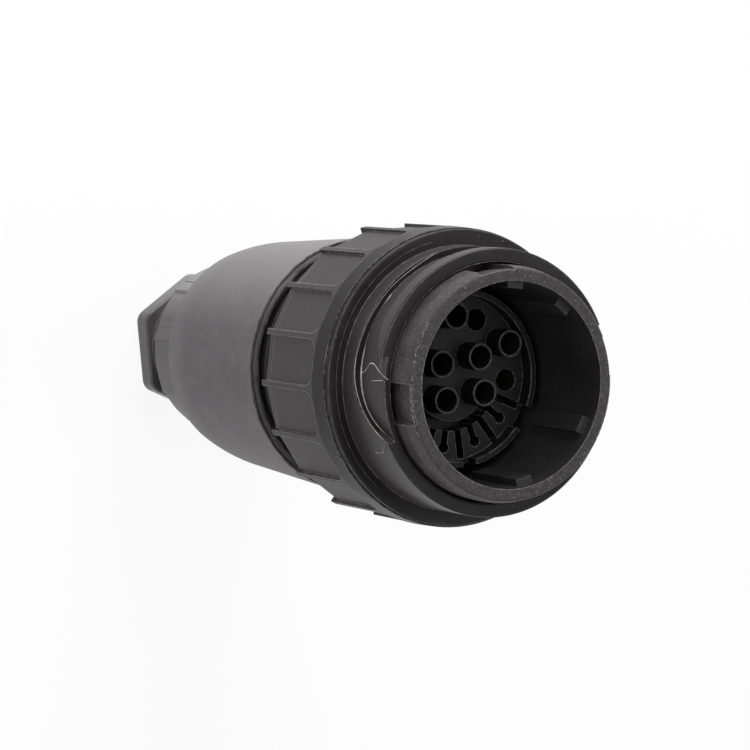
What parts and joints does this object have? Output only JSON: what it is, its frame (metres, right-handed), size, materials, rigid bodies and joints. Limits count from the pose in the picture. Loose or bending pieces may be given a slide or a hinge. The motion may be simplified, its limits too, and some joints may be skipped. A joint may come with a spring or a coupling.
{
  "type": "circular cable plug",
  "caption": "Round plastic cable plug with a keyed mouth, sleeved contact insert, bayonet coupling ring, tapered rear housing and hexagon cable gland.",
  "frame": {"origin": "on the plug's axis, at the flat rear face of the gland nut, on which it stands", "axes": "+Z along the axis towards the mouth, +Y in the plane of symmetry of the contact pattern, towards the keyhole seats"},
  "size_m": [0.0534, 0.0534, 0.123],
  "materials": {
    "shell_plastic": "satin moulded",
    "ring_plastic": "satin moulded",
    "housing_plastic": "satin moulded",
    "insert_plastic": "satin moulded",
    "spring_steel": "brushed",
    "seal_rubber": "matte",
    "contact_brass": "turned"
  },
  "bodies": {
    "plug": {"front_shell": "shell_plastic", "locking_collar": "shell_plastic", "wave_washer": "spring_steel", "shell_seal": "seal_rubber", "contact_insert": "insert_plastic", "contact_plate": "insert_plastic", "spring_clip": "spring_steel", "sleeve_socket_1": "contact_brass", "sleeve_socket_2": "contact_brass", "sleeve_socket_3": "contact_brass", "sleeve_socket_4": "contact_brass", "sleeve_socket_5": "contact_brass", "sleeve_socket_6": "contact_brass", "sleeve_socket_7": "contact_brass", "plain_socket_1": "contact_brass", "plain_socket_2": "contact_brass", "plain_socket_3": "contact_brass", "plain_socket_4": "contact_brass", "key_socket_1": "contact_brass", "key_socket_2": "contact_brass", "key_socket_3": "contact_brass", "key_socket_4": "contact_brass", "rear_housing": "housing_plastic", "cable_grommet": "seal_rubber", "pressure_ring": "shell_plastic", "gland_nut": "housing_plastic"},
    "ring": {"coupling_ring": "ring_plastic"}
  },
  "joints": [
    {"name": "coupling_turn", "type": "hinge", "parent": "plug", "child": "ring", "pos_m": [0, 0, 0.1], "axis": [0, 0, 1], "range_deg": [0, 120]}
  ]
}
